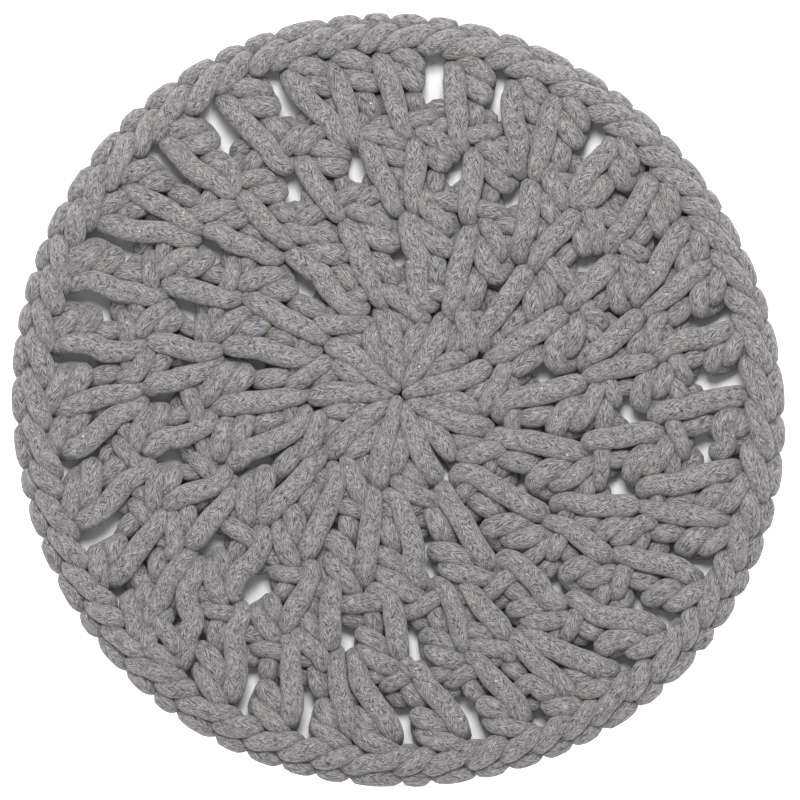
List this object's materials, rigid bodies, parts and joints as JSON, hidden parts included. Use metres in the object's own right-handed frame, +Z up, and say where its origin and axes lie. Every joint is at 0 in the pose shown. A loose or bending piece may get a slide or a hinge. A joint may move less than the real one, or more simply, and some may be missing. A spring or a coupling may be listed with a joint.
{
  "type": "round trivet",
  "caption": "Round flat trivet of thick grey cotton cord, crocheted from a closed middle, with open spaces between the stitches and a scalloped chain rim.",
  "frame": {"origin": "centre of the mat's bounding box, on the surface it rests on", "axes": "+Z up out of the mat's face; +X and +Y to the right and up in the view from above"},
  "size_m": [0.1982, 0.1984, 0.011],
  "materials": {
    "grey_cotton_cord": "matt, heathered cotton cord"
  },
  "bodies": {
    "root": {"trivet": "grey_cotton_cord"}
  },
  "joints": []
}
